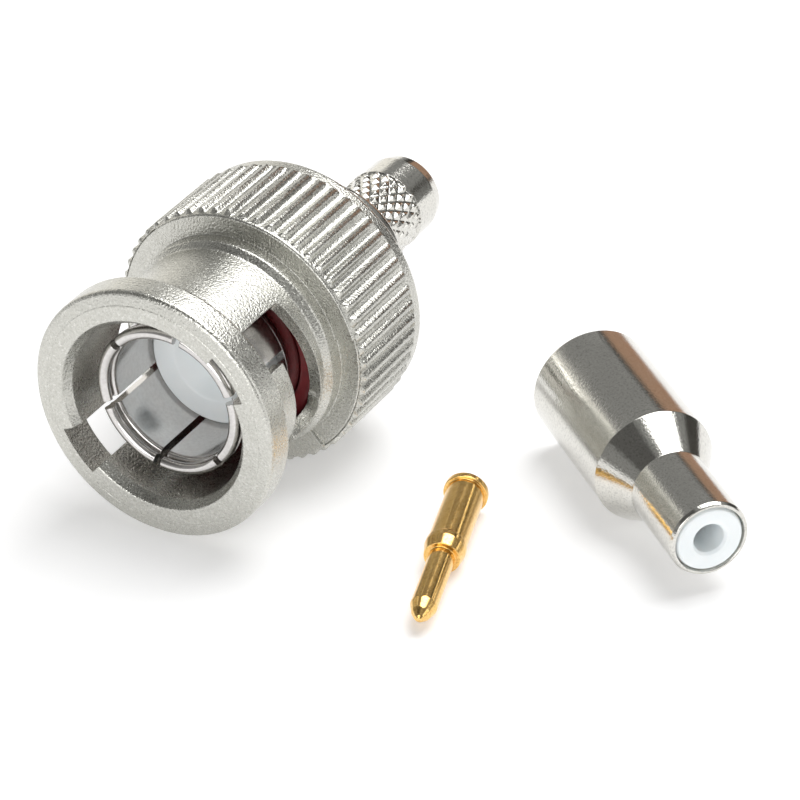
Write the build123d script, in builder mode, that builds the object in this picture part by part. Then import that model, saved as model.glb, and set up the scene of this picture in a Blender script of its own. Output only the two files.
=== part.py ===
"""A crimp bayonet plug for coaxial cable, lying with its loose centre contact and its ferrule.

Millimetres. The plug lies along +Y on its knurled nut, with its mating face towards -Y. The ferrule
and the centre contact lie beside it on the same surface, z = 0. The origin is on that surface, under
the middle of the whole set. "Depth" is measured along an axis from the piece's own front or big end.
"""
from build123d import *
import os
from math import asin, cos, degrees, radians, sin

os.makedirs("parts", exist_ok=True)

# Where the three pieces lie
PLUG_X = -10.24           # middle of the plug's mating face
PLUG_Y = -12.17
FERRULE_FROM_PLUG = (14.8, 18.4)    # middle of the ferrule's big end
FERRULE_TURN = -40.4                # its direction in degrees, big end to small end, from +X
CONTACT_FROM_PLUG = (12.45, 9.4)    # middle of the contact's rear face
CONTACT_TURN = -73.2                # its direction in degrees, rear face to tip, from +X

# Clearances
PRESS_GAP = 0.01          # between pieces pressed together
SEAT_GAP = 0.02           # between a spring or washer and what it leans on
RUNNING_GAP = 0.15        # between what turns or slides and what carries it

# Outer contact, a sleeve slotted into springs: the radii of the nut and the body follow from it
SLEEVE_RADIUS = 4.02
SLEEVE_WALL = 0.54
SLEEVE_TIP_RISE = 0.13
SLEEVE_TIP_DEPTH = 1.34
SLEEVE_TIP_LENGTH = 0.75
SLEEVE_TIP_EDGE = 0.25
FINGER_COUNT = 6
FINGER_ANGLE = 18.0
FINGER_SLOT_WIDTH = 0.4
FINGER_SLOT_END = 6.4

# Coupling nut, inside
SOCKET_SPACE = 0.92       # round the sleeve, for the shell of the socket
MOUTH_FLARE = 0.36
MOUTH_LEAD = 0.5
CAVITY_STEP = 0.96        # from the bore out to the cavity behind it
CAVITY_DEPTH = 8.6
REAR_MOUTH_LEAD = 0.3
SNAP_GROOVE_STEP = 0.4

# Coupling nut, outside
NUT_LENGTH = 14.95
COLLAR_WALL = 1.96
COLLAR_LENGTH = 1.75
COLLAR_EDGE = 0.2         # rounding of the collar's two outer edges
FACE_LAND_WIDTH = 0.88    # flat of the mating face, inside its outer slope
FACE_LAND_DROP = 0.12
NECK_WALL = 0.66
NECK_STEP = 0.3
NECK_STEP_DEPTH = 7.6
NECK_FILLET = 0.28
FLANGE_DEPTH = 8.27       # front of the knurled ring
FLANGE_EDGE_DROP = 0.32
KNURL_WALL = 1.35
KNURL_DEPTH = 0.24        # of its grooves
KNURL_FRONT = 8.58
KNURL_REAR = 13.55
KNURL_BEVEL = 0.2
RIDGE_COUNT = 55
RIDGE_PHASE = 2.2         # angle of the first ridge from +X
GROOVE_TOP = 0.56         # width of a knurl groove's cut, just outside the ridges
GROOVE_FLOOR = 0.08
REAR_BAND_DROP = 0.14     # of the smooth band behind the ridges
REAR_BEVEL = 0.6
RECESS_START = 132.5      # the two shallow recesses in the flange's front face
RECESS_SWEEP = 62.0
RECESS_DROP = 0.15

# Bayonet slots, two of them half a turn apart
SLOT_WIDTH = 2.4
SLOT_ANGLE = 36.5         # middle of the entry groove, from +X towards +Z
SLOT_FLOOR_STEP = 0.91    # depth of the entry groove in the collar's bore
SLOT_TURN_DEPTH = 5.28    # middle of the slot where it starts to turn
SLOT_SWEEP = 62.0
SLOT_LEAD = 4.14          # advance in one whole turn
DETENT_RADIUS = 1.3
DETENT_DIP = 0.1          # how far the detent goes back towards the front
SLOT_COUNT = 2

# Insulators
INSULATOR_FACE_DEPTH = 5.4
INSULATOR_EDGE = 0.2
DISH_RADIUS = 2.1
DISH_BOTTOM_RADIUS = 1.15
DISH_DEPTH = 0.85
PIN_HOLE_RADIUS = 0.72
CONTACT_HOLE_RADIUS = 1.08
CONTACT_HOLE_DEPTH = 8.0
INSULATOR_SPLIT_DEPTH = 13.0
REAR_INSULATOR_LENGTH = 2.4
REAR_HOLE_RADIUS = 1.22

# Body, with its crimp stem
SHOULDER_LENGTH = 1.0
CONTACT_SEAT_LENGTH = 0.95     # how deep the outer contact goes into the body
HUB_WALL = 0.72
HUB_FLOOR = 2.7           # from the insulators to the hub's rear face
HUB_EDGE = 0.3
STEM_BORE_RADIUS = 1.53
STEM_BORE_LEAD = 0.2
STEM_WALL = 0.75           # up to the crests of its knurl
STEM_LENGTH = 7.5
STEM_EDGE = 0.35

# Gasket and spring parts between the body's shoulder and the nut's snap ring
GASKET_LENGTH = 1.3
WAVE_HEIGHT = 0.68
WAVE_THICKNESS = 0.22
WAVE_COUNT = 3
WAVE_CUT_ANGLE = 42.4     # half the angle that one wave's hollow spans
THRUST_THICKNESS = 0.6
SNAP_THICKNESS = 0.7
SNAP_LIP = 0.95           # how far the retaining ring stands into the cavity
SNAP_SPLIT_ANGLE = 28.0

# Centre contact
HEAD_RADIUS = 1.15
HEAD_THICKNESS = 0.4
BARREL_RADIUS = 0.99
COLLAR_START = 4.6
COLLAR_FRONT = 5.93
CONTACT_COLLAR_RADIUS = 1.06
CONTACT_EDGE = 0.12
WAIST_RADIUS = 0.92
PIN_RADIUS = 0.674
CONTACT_LENGTH = 11.1
TIP_LENGTH = 0.75
TIP_RADIUS = 0.28
CRIMP_HOLE_RADIUS = 0.55
CRIMP_HOLE_LENGTH = 3.8

# Ferrule and its insert
FERRULE_RADIUS = 3.18
FERRULE_WALL = 0.38
FERRULE_BODY_LENGTH = 8.35
FERRULE_CONE_LENGTH = 2.05
FERRULE_END_RADIUS = 2.06
FERRULE_END_WALL = 0.28
FERRULE_LENGTH = 15.35
FERRULE_LIP = 0.16
FERRULE_MOUTH_EDGE = 0.12
INSERT_FROM_CONE = 0.2
INSERT_HOLE_RADIUS = 0.8
INSERT_HOLE_LEAD = 0.12
INSERT_EDGE = 0.12
INSERT_RECESS = 0.05      # of the insert's face behind the ferrule's lip

# Worked out: radii of the plug
SLEEVE_BORE_RADIUS = SLEEVE_RADIUS - SLEEVE_WALL
SLEEVE_TIP_RADIUS = SLEEVE_RADIUS + SLEEVE_TIP_RISE
BORE_RADIUS = SLEEVE_RADIUS + SOCKET_SPACE
MOUTH_RADIUS = BORE_RADIUS + MOUTH_FLARE
FACE_LAND_RADIUS = MOUTH_RADIUS + FACE_LAND_WIDTH
COLLAR_RADIUS = BORE_RADIUS + COLLAR_WALL
NECK_RADIUS = BORE_RADIUS + NECK_WALL
NECK_STEP_RADIUS = NECK_RADIUS + NECK_STEP
SLOT_FLOOR_RADIUS = BORE_RADIUS + SLOT_FLOOR_STEP
CAVITY_RADIUS = BORE_RADIUS + CAVITY_STEP
SNAP_GROOVE_RADIUS = CAVITY_RADIUS + SNAP_GROOVE_STEP
SNAP_INNER_RADIUS = CAVITY_RADIUS - SNAP_LIP
KNURL_RADIUS = CAVITY_RADIUS + KNURL_WALL
FLANGE_EDGE_RADIUS = KNURL_RADIUS - FLANGE_EDGE_DROP
GROOVE_BOTTOM_RADIUS = KNURL_RADIUS - KNURL_DEPTH
REAR_BAND_RADIUS = KNURL_RADIUS - REAR_BAND_DROP
SHOULDER_RADIUS = CAVITY_RADIUS - RUNNING_GAP
INSULATOR_RADIUS = SLEEVE_BORE_RADIUS - PRESS_GAP
HUB_RADIUS = SLEEVE_BORE_RADIUS + HUB_WALL
STEM_RADIUS = STEM_BORE_RADIUS + STEM_WALL
WASHER_INNER_RADIUS = HUB_RADIUS + RUNNING_GAP
WASHER_OUTER_RADIUS = CAVITY_RADIUS - RUNNING_GAP
AXIS_HEIGHT = KNURL_RADIUS

# Worked out: depths in the plug
SHOULDER_DEPTH = CAVITY_DEPTH + RUNNING_GAP
SHOULDER_END = SHOULDER_DEPTH + SHOULDER_LENGTH
SLEEVE_END = SHOULDER_DEPTH + CONTACT_SEAT_LENGTH
BODY_BORE_END = INSULATOR_SPLIT_DEPTH + REAR_INSULATOR_LENGTH
HUB_END = BODY_BORE_END + HUB_FLOOR
STEM_END = HUB_END + STEM_LENGTH
WAVE_1_DEPTH = SHOULDER_END + SEAT_GAP
WAVE_2_DEPTH = WAVE_1_DEPTH + WAVE_HEIGHT + SEAT_GAP
THRUST_DEPTH = WAVE_2_DEPTH + WAVE_HEIGHT + SEAT_GAP
SNAP_DEPTH = THRUST_DEPTH + THRUST_THICKNESS + SEAT_GAP
SNAP_GROOVE_END = SNAP_DEPTH + SNAP_THICKNESS
SLOT_RISE = SLOT_LEAD * SLOT_SWEEP / 360
DETENT_DEPTH = SLOT_TURN_DEPTH + SLOT_RISE - DETENT_DIP
SLOT_CUT_DEPTH = 2 * NECK_WALL + 0.3

# Worked out: ferrule
FERRULE_BORE_RADIUS = FERRULE_RADIUS - FERRULE_WALL
FERRULE_END_BORE_RADIUS = FERRULE_END_RADIUS - FERRULE_END_WALL
FERRULE_CONE_END = FERRULE_BODY_LENGTH + FERRULE_CONE_LENGTH
INSERT_START = FERRULE_CONE_END + INSERT_FROM_CONE

PLUG_ORIGIN = Vector(PLUG_X, PLUG_Y, AXIS_HEIGHT)
PLUG_SECTION = Plane(origin=PLUG_ORIGIN, x_dir=(0, 1, 0), z_dir=(1, 0, 0))
PLUG_AXIS = Axis(PLUG_ORIGIN, (0, 1, 0))


def across(depth):
    """The plane across the plug at this depth, seen from the mating side: x is +X and y is +Z."""
    return Plane(origin=PLUG_ORIGIN + Vector(0, depth, 0), x_dir=(1, 0, 0), z_dir=(0, -1, 0))


def radial(angle, depth, radius):
    """The plane whose normal points straight out from the plug's axis, at this radius."""
    outward = Vector(cos(radians(angle)), 0, sin(radians(angle)))
    place = PLUG_ORIGIN + Vector(0, depth, 0) + outward * radius
    return Plane(origin=place, x_dir=(0, 1, 0), z_dir=outward)


def lying(offset, turn, height, dip=0.0):
    """The section plane of a piece that lies beside the plug: x runs along its axis and y up."""
    level = cos(radians(dip))
    run = Vector(cos(radians(turn)) * level, sin(radians(turn)) * level, -sin(radians(dip)))
    side = Vector(sin(radians(turn)), -cos(radians(turn)), 0)
    place = Vector(PLUG_X + offset[0], PLUG_Y + offset[1], height)
    return Plane(origin=place, x_dir=run, z_dir=side)


# Coupling nut: collar, neck and knurled ring in one turned piece
with BuildPart() as coupling_nut:
    with BuildSketch(PLUG_SECTION):
        with BuildLine():
            Polyline(
                (MOUTH_LEAD, BORE_RADIUS),
                (0, MOUTH_RADIUS),
                (0, FACE_LAND_RADIUS),
                (FACE_LAND_DROP, COLLAR_RADIUS - COLLAR_EDGE),
                (FACE_LAND_DROP + COLLAR_EDGE, COLLAR_RADIUS),
                (COLLAR_LENGTH - COLLAR_EDGE, COLLAR_RADIUS),
                (COLLAR_LENGTH, COLLAR_RADIUS - COLLAR_EDGE),
                (COLLAR_LENGTH, NECK_RADIUS),
                (NECK_STEP_DEPTH - NECK_FILLET, NECK_RADIUS),
                (NECK_STEP_DEPTH, NECK_STEP_RADIUS),
                (FLANGE_DEPTH, NECK_STEP_RADIUS),
                (FLANGE_DEPTH, FLANGE_EDGE_RADIUS),
                (KNURL_FRONT - KNURL_BEVEL / 2, GROOVE_BOTTOM_RADIUS),
                (KNURL_FRONT, GROOVE_BOTTOM_RADIUS),
                (KNURL_FRONT + KNURL_BEVEL, KNURL_RADIUS),
                (KNURL_REAR, KNURL_RADIUS),
                (KNURL_REAR + KNURL_BEVEL, REAR_BAND_RADIUS),
                (NUT_LENGTH - REAR_BEVEL, REAR_BAND_RADIUS),
                (NUT_LENGTH, REAR_BAND_RADIUS - REAR_BEVEL),
                (NUT_LENGTH, CAVITY_RADIUS + REAR_MOUTH_LEAD),
                (NUT_LENGTH - REAR_MOUTH_LEAD, CAVITY_RADIUS),
                (SNAP_GROOVE_END, CAVITY_RADIUS),
                (SNAP_GROOVE_END, SNAP_GROOVE_RADIUS),
                (SNAP_DEPTH, SNAP_GROOVE_RADIUS),
                (SNAP_DEPTH, CAVITY_RADIUS),
                (CAVITY_DEPTH, CAVITY_RADIUS),
                (CAVITY_DEPTH, BORE_RADIUS),
                close=True,
            )
        make_face()
    revolve(axis=PLUG_AXIS)

    # Straight knurl: one groove between each two ridges
    with BuildSketch(across(KNURL_REAR + KNURL_BEVEL)):
        with PolarLocations(KNURL_RADIUS, RIDGE_COUNT, start_angle=RIDGE_PHASE + 180 / RIDGE_COUNT):
            Polygon(
                (KNURL_BEVEL, GROOVE_TOP / 2),
                (-KNURL_DEPTH, GROOVE_FLOOR / 2),
                (-KNURL_DEPTH, -GROOVE_FLOOR / 2),
                (KNURL_BEVEL, -GROOVE_TOP / 2),
                align=None,
            )
    extrude(amount=KNURL_REAR + KNURL_BEVEL - KNURL_FRONT, mode=Mode.SUBTRACT)

    # Two shallow recesses in the ring's front face
    with BuildSketch(across(FLANGE_DEPTH + RECESS_DROP)):
        for number in range(SLOT_COUNT):
            recess_angle = RECESS_START + number * 360 / SLOT_COUNT
            with BuildLine():
                inner = CenterArc((0, 0), NECK_STEP_RADIUS, recess_angle, RECESS_SWEEP)
                outer = CenterArc((0, 0), KNURL_RADIUS, recess_angle, RECESS_SWEEP)
                Line(inner @ 0, outer @ 0)
                Line(inner @ 1, outer @ 1)
            make_face()
    extrude(amount=2 * RECESS_DROP, mode=Mode.SUBTRACT)

    # Bayonet slots: a straight entry groove, a helical stretch and a round detent
    with BuildSketch(across(SLOT_TURN_DEPTH + SLOT_WIDTH / 2)):
        with PolarLocations(0, SLOT_COUNT, start_angle=SLOT_ANGLE):
            Rectangle(SLOT_FLOOR_RADIUS, SLOT_WIDTH, align=(Align.MIN, Align.CENTER))
    extrude(amount=SLOT_TURN_DEPTH + SLOT_WIDTH / 2, mode=Mode.SUBTRACT)
    for number in range(SLOT_COUNT):
        slot_angle = SLOT_ANGLE + number * 360 / SLOT_COUNT
        outward = radial(slot_angle, SLOT_TURN_DEPTH, 0)
        turning = Plane(origin=outward.origin, x_dir=outward.z_dir, z_dir=(0, 1, 0))
        path = turning * Helix(SLOT_LEAD, SLOT_RISE, NECK_RADIUS, mode=Mode.PRIVATE)
        with BuildSketch(Plane(origin=path @ 0, x_dir=outward.z_dir, z_dir=path % 0)):
            Rectangle(SLOT_CUT_DEPTH, SLOT_WIDTH)
        sweep(path=path, is_frenet=True, mode=Mode.SUBTRACT)
        with BuildSketch(radial(slot_angle - SLOT_SWEEP, DETENT_DEPTH, BORE_RADIUS / 2)):
            Circle(DETENT_RADIUS)
        extrude(amount=BORE_RADIUS / 2 + SLOT_CUT_DEPTH, mode=Mode.SUBTRACT)
coupling_nut.part.label = "coupling_nut"

# Body: shoulder inside the nut, polished hub behind it, crimp stem at the rear
with BuildPart() as connector_body:
    with BuildSketch(PLUG_SECTION):
        with BuildLine():
            Polyline(
                (SHOULDER_DEPTH, SLEEVE_RADIUS + PRESS_GAP),
                (SHOULDER_DEPTH, SHOULDER_RADIUS),
                (SHOULDER_END, SHOULDER_RADIUS),
                (SHOULDER_END, HUB_RADIUS),
                (HUB_END - HUB_EDGE, HUB_RADIUS),
                (HUB_END, HUB_RADIUS - HUB_EDGE),
                (HUB_END, STEM_RADIUS),
                (STEM_END - STEM_EDGE, STEM_RADIUS),
                (STEM_END, STEM_RADIUS - STEM_EDGE),
                (STEM_END, STEM_BORE_RADIUS + STEM_BORE_LEAD),
                (STEM_END - STEM_BORE_LEAD, STEM_BORE_RADIUS),
                (BODY_BORE_END, STEM_BORE_RADIUS),
                (BODY_BORE_END, SLEEVE_BORE_RADIUS),
                (SLEEVE_END, SLEEVE_BORE_RADIUS),
                (SLEEVE_END, SLEEVE_RADIUS + PRESS_GAP),
                close=True,
            )
        make_face()
    revolve(axis=PLUG_AXIS)
connector_body.part.label = "connector_body"

# Outer contact: a thin sleeve with a raised tip, slotted into six spring fingers
with BuildPart() as outer_contact:
    with BuildSketch(PLUG_SECTION):
        with BuildLine():
            Polyline(
                (SLEEVE_TIP_DEPTH, SLEEVE_BORE_RADIUS + SLEEVE_TIP_EDGE),
                (SLEEVE_TIP_DEPTH, SLEEVE_TIP_RADIUS - SLEEVE_TIP_EDGE),
                (SLEEVE_TIP_DEPTH + SLEEVE_TIP_EDGE, SLEEVE_TIP_RADIUS),
                (SLEEVE_TIP_DEPTH + SLEEVE_TIP_LENGTH, SLEEVE_TIP_RADIUS),
                (SLEEVE_TIP_DEPTH + SLEEVE_TIP_LENGTH + SLEEVE_TIP_EDGE, SLEEVE_RADIUS),
                (SLEEVE_END, SLEEVE_RADIUS),
                (SLEEVE_END, SLEEVE_BORE_RADIUS),
                (SLEEVE_TIP_DEPTH + SLEEVE_TIP_EDGE, SLEEVE_BORE_RADIUS),
                close=True,
            )
        make_face()
    revolve(axis=PLUG_AXIS)
    with BuildSketch(across(FINGER_SLOT_END)):
        with PolarLocations(0, FINGER_COUNT, start_angle=FINGER_ANGLE):
            Rectangle(SLEEVE_TIP_RADIUS + 1, FINGER_SLOT_WIDTH, align=(Align.MIN, Align.CENTER))
    extrude(amount=FINGER_SLOT_END, mode=Mode.SUBTRACT)
outer_contact.part.label = "outer_contact"

# Front insulator: dished face, a fine hole for the pin and a wider one for the contact's barrel
with BuildPart() as front_insulator:
    with BuildSketch(PLUG_SECTION):
        with BuildLine():
            Polyline(
                (INSULATOR_FACE_DEPTH + DISH_DEPTH, PIN_HOLE_RADIUS),
                (INSULATOR_FACE_DEPTH + DISH_DEPTH, DISH_BOTTOM_RADIUS),
                (INSULATOR_FACE_DEPTH, DISH_RADIUS),
                (INSULATOR_FACE_DEPTH, INSULATOR_RADIUS - INSULATOR_EDGE),
                (INSULATOR_FACE_DEPTH + INSULATOR_EDGE, INSULATOR_RADIUS),
                (INSULATOR_SPLIT_DEPTH, INSULATOR_RADIUS),
                (INSULATOR_SPLIT_DEPTH, CONTACT_HOLE_RADIUS),
                (CONTACT_HOLE_DEPTH, CONTACT_HOLE_RADIUS),
                (CONTACT_HOLE_DEPTH, PIN_HOLE_RADIUS),
                close=True,
            )
        make_face()
    revolve(axis=PLUG_AXIS)
front_insulator.part.label = "front_insulator"

# Rear insulator: a bush behind the front one, against the end of the body's bore
with BuildPart() as rear_insulator:
    with BuildSketch(across(BODY_BORE_END)):
        Circle(INSULATOR_RADIUS)
        Circle(REAR_HOLE_RADIUS, mode=Mode.SUBTRACT)
    extrude(amount=BODY_BORE_END - INSULATOR_SPLIT_DEPTH)
rear_insulator.part.label = "rear_insulator"

# Gasket: a soft ring round the outer contact, against the body's shoulder
with BuildPart() as gasket:
    with BuildSketch(across(SHOULDER_DEPTH)):
        Circle(BORE_RADIUS - RUNNING_GAP / 2)
        Circle(SLEEVE_RADIUS + PRESS_GAP, mode=Mode.SUBTRACT)
    extrude(amount=GASKET_LENGTH)
gasket.part.label = "gasket"


def wave_washer(depth, turn):
    """A ring bent into waves: hollows cut from each face in turn leave a wavy strip."""
    mean_radius = (WASHER_INNER_RADIUS + WASHER_OUTER_RADIUS) / 2
    hollow = WAVE_HEIGHT - WAVE_THICKNESS
    chord = 2 * mean_radius * sin(radians(WAVE_CUT_ANGLE))
    cut_radius = chord ** 2 / (8 * hollow) + hollow / 2
    with BuildPart() as washer:
        with BuildSketch(across(depth + WAVE_HEIGHT)):
            Circle(WASHER_OUTER_RADIUS)
            Circle(WASHER_INNER_RADIUS, mode=Mode.SUBTRACT)
        extrude(amount=WAVE_HEIGHT)
        for number in range(2 * WAVE_COUNT):
            angle = turn + number * 180 / WAVE_COUNT
            if number % 2:
                centre = depth + WAVE_HEIGHT + cut_radius - hollow
            else:
                centre = depth + hollow - cut_radius
            with Locations(radial(angle, centre, 0)):
                Cylinder(cut_radius, WASHER_OUTER_RADIUS + 1, align=(Align.CENTER, Align.CENTER, Align.MIN),
                         mode=Mode.SUBTRACT)
    return washer.part


# Two wave washers, crest to crest, push the nut back from the body's shoulder
wave_washer_1 = wave_washer(WAVE_1_DEPTH, 0)
wave_washer_1.label = "wave_washer_1"
wave_washer_2 = wave_washer(WAVE_2_DEPTH, 180 / WAVE_COUNT)
wave_washer_2.label = "wave_washer_2"

# Thrust washer: the flat face that the nut turns against
with BuildPart() as thrust_washer:
    with BuildSketch(across(THRUST_DEPTH + THRUST_THICKNESS)):
        Circle(WASHER_OUTER_RADIUS)
        Circle(WASHER_INNER_RADIUS, mode=Mode.SUBTRACT)
    extrude(amount=THRUST_THICKNESS)
thrust_washer.part.label = "thrust_washer"

# Retaining ring: a split ring sprung into the groove inside the nut
with BuildPart() as retaining_ring:
    with BuildSketch(across(SNAP_DEPTH + SNAP_THICKNESS)):
        Circle(SNAP_GROOVE_RADIUS - PRESS_GAP)
        Circle(SNAP_INNER_RADIUS, mode=Mode.SUBTRACT)
        with BuildLine():
            gap = CenterArc((0, 0), SNAP_GROOVE_RADIUS + 1, 90 - SNAP_SPLIT_ANGLE / 2, SNAP_SPLIT_ANGLE)
            Line((0, 0), gap @ 0)
            Line(gap @ 1, (0, 0))
        make_face(mode=Mode.SUBTRACT)
    extrude(amount=SNAP_THICKNESS)
retaining_ring.part.label = "retaining_ring"

# Centre contact: it lies on the rims of its head and its collar, so its axis dips a little
CONTACT_DIP = degrees(asin((HEAD_RADIUS - CONTACT_COLLAR_RADIUS) / (COLLAR_FRONT - HEAD_THICKNESS)))
CONTACT_HEIGHT = HEAD_RADIUS * cos(radians(CONTACT_DIP)) + HEAD_THICKNESS * sin(radians(CONTACT_DIP))
CONTACT_SECTION = lying(CONTACT_FROM_PLUG, CONTACT_TURN, CONTACT_HEIGHT, CONTACT_DIP)
with BuildPart() as centre_contact:
    with BuildSketch(CONTACT_SECTION):
        with BuildLine():
            Polyline(
                (CRIMP_HOLE_LENGTH, 0),
                (CRIMP_HOLE_LENGTH, CRIMP_HOLE_RADIUS),
                (0, CRIMP_HOLE_RADIUS),
                (0, HEAD_RADIUS - CONTACT_EDGE),
                (CONTACT_EDGE, HEAD_RADIUS),
                (HEAD_THICKNESS, HEAD_RADIUS),
                (HEAD_THICKNESS, BARREL_RADIUS),
                (COLLAR_START - CONTACT_EDGE, BARREL_RADIUS),
                (COLLAR_START, WAIST_RADIUS),
                (COLLAR_START + CONTACT_EDGE, CONTACT_COLLAR_RADIUS),
                (COLLAR_FRONT - CONTACT_EDGE, CONTACT_COLLAR_RADIUS),
                (COLLAR_FRONT, CONTACT_COLLAR_RADIUS - CONTACT_EDGE),
                (COLLAR_FRONT, PIN_RADIUS),
                (CONTACT_LENGTH - TIP_LENGTH, PIN_RADIUS),
                (CONTACT_LENGTH - TIP_RADIUS / 2, TIP_RADIUS),
                (CONTACT_LENGTH, TIP_RADIUS / 2),
                (CONTACT_LENGTH, 0),
                close=True,
            )
        make_face()
    revolve(axis=Axis(CONTACT_SECTION.origin, CONTACT_SECTION.x_dir))
centre_contact.part.label = "centre_contact"

# Ferrule: a wide crimp barrel, a cone and a narrow end that holds the insert
FERRULE_SECTION = lying(FERRULE_FROM_PLUG, FERRULE_TURN, FERRULE_RADIUS)
FERRULE_AXIS = Axis(FERRULE_SECTION.origin, FERRULE_SECTION.x_dir)
with BuildPart() as ferrule:
    with BuildSketch(FERRULE_SECTION):
        with BuildLine():
            Polyline(
                (0, FERRULE_BORE_RADIUS + FERRULE_MOUTH_EDGE),
                (0, FERRULE_RADIUS - FERRULE_MOUTH_EDGE),
                (FERRULE_MOUTH_EDGE, FERRULE_RADIUS),
                (FERRULE_BODY_LENGTH, FERRULE_RADIUS),
                (FERRULE_CONE_END, FERRULE_END_RADIUS),
                (FERRULE_LENGTH - FERRULE_LIP, FERRULE_END_RADIUS),
                (FERRULE_LENGTH, FERRULE_END_RADIUS - FERRULE_LIP),
                (FERRULE_LENGTH, FERRULE_END_BORE_RADIUS),
                (FERRULE_CONE_END, FERRULE_END_BORE_RADIUS),
                (FERRULE_BODY_LENGTH, FERRULE_BORE_RADIUS),
                (FERRULE_MOUTH_EDGE, FERRULE_BORE_RADIUS),
                close=True,
            )
        make_face()
    revolve(axis=FERRULE_AXIS)
ferrule.part.label = "ferrule"

# Ferrule insert: a plastic bush that the cable's core passes through
with BuildPart() as ferrule_insert:
    with BuildSketch(FERRULE_SECTION):
        with BuildLine():
            Polyline(
                (INSERT_START, INSERT_HOLE_RADIUS),
                (INSERT_START, FERRULE_END_BORE_RADIUS - PRESS_GAP),
                (FERRULE_LENGTH - INSERT_RECESS - INSERT_EDGE, FERRULE_END_BORE_RADIUS - PRESS_GAP),
                (FERRULE_LENGTH - INSERT_RECESS, FERRULE_END_BORE_RADIUS - PRESS_GAP - INSERT_EDGE),
                (FERRULE_LENGTH - INSERT_RECESS, INSERT_HOLE_RADIUS + INSERT_HOLE_LEAD),
                (FERRULE_LENGTH - INSERT_RECESS - INSERT_HOLE_LEAD, INSERT_HOLE_RADIUS),
                close=True,
            )
        make_face()
    revolve(axis=FERRULE_AXIS)
ferrule_insert.part.label = "ferrule_insert"

PIECES = [
    coupling_nut.part,
    connector_body.part,
    outer_contact.part,
    front_insulator.part,
    rear_insulator.part,
    gasket.part,
    wave_washer_1,
    wave_washer_2,
    thrust_washer.part,
    retaining_ring.part,
    centre_contact.part,
    ferrule.part,
    ferrule_insert.part,
]
for piece in PIECES:
    export_step(piece, f"parts/{piece.label}.step")
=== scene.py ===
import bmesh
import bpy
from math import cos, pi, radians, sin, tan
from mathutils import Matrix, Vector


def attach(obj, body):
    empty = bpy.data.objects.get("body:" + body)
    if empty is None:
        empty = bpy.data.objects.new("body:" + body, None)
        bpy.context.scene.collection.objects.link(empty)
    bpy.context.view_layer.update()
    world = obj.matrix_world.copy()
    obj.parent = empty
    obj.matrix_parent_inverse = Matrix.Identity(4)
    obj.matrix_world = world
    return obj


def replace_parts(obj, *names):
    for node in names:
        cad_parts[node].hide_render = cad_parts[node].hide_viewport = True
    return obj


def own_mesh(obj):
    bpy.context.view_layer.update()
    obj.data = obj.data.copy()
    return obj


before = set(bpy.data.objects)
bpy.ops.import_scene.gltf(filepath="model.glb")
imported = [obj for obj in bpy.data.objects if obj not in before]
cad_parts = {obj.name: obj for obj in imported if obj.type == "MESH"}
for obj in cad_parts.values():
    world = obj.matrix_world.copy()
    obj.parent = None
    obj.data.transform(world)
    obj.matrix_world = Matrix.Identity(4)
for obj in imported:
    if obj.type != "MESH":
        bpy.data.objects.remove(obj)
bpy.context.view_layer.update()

# %% [markdown]
# # A crimp bayonet plug, with its loose contact and its ferrule
#
# This lesson dresses a small coaxial plug that comes as three loose pieces: the plug itself, a gold
# centre contact and a stepped ferrule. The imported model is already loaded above. It gives every solid
# its exact place, in metres, and tells which solids move together.
#
# Nearly everything here was turned on a lathe, so one helper that turns an outline about an axis does
# most of the work. What repeats round an axis is left to Geometry Nodes: the knurls, the spring
# fingers and the waves of the spring washers.

MM = 0.001

# %% [markdown]
# ## Where the three pieces lie
#
# A turned piece is easiest to draw in its own frame: how far along its axis, and how far out from it.
# A matrix then carries that frame into the room. The plug lies level along +Y on its knurled ring, so
# its axis is as high as the ring's radius. The ferrule and the contact lie beside it, turned.
# The contact lies on the rims of its head and its collar, which differ by a hair, so it dips a little.

# %% The three frames
def own_frame(origin, run, first):
    """A piece's own frame: x runs along its axis, and angles about the axis start at `first`."""
    run, first = run.normalized(), first.normalized()
    second = run.cross(first)
    place = Matrix((run, first, second)).transposed().to_4x4()
    place.translation = origin
    return place


def lying(x, y, height, turn, dip):
    """The frame of a piece that lies on the surface, turned from +X and dipping at its far end."""
    level = cos(radians(dip))
    run = Vector((cos(radians(turn)) * level, sin(radians(turn)) * level, -sin(radians(dip))))
    side = Vector((-sin(radians(turn)), cos(radians(turn)), 0))
    return own_frame(Vector((x, y, height)) * MM, run, side)


PLUG_X, PLUG_Y, AXIS_HEIGHT = -10.24, -12.17, 7.25
# Angles round the plug run from +X towards +Z.
PLUG = Matrix(((0, 1, 0), (1, 0, 0), (0, 0, 1))).to_4x4()
PLUG.translation = Vector((PLUG_X, PLUG_Y, AXIS_HEIGHT)) * MM
FERRULE = lying(PLUG_X + 14.8, PLUG_Y + 18.4, 3.18, -40.4, 0)
CONTACT = lying(PLUG_X + 12.45, PLUG_Y + 9.4, 1.1564, -73.2, 0.933)
print("plug axis at", [round(v / MM, 2) for v in PLUG.translation])

# %% [markdown]
# ## Turning an outline
#
# A lathe leaves rings round one axis, and every real corner is a little rounded. So a piece is drawn
# as a list of corners, each with how far along the axis it is, its radius and its rounding. The first
# helper replaces each corner by a short curve, with one extra point just past it on each side. The
# extra points keep the flats flat when the surface is shaded smooth. The second helper turns the
# outline. Where the outline touches the axis, one point closes the pole.

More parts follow.
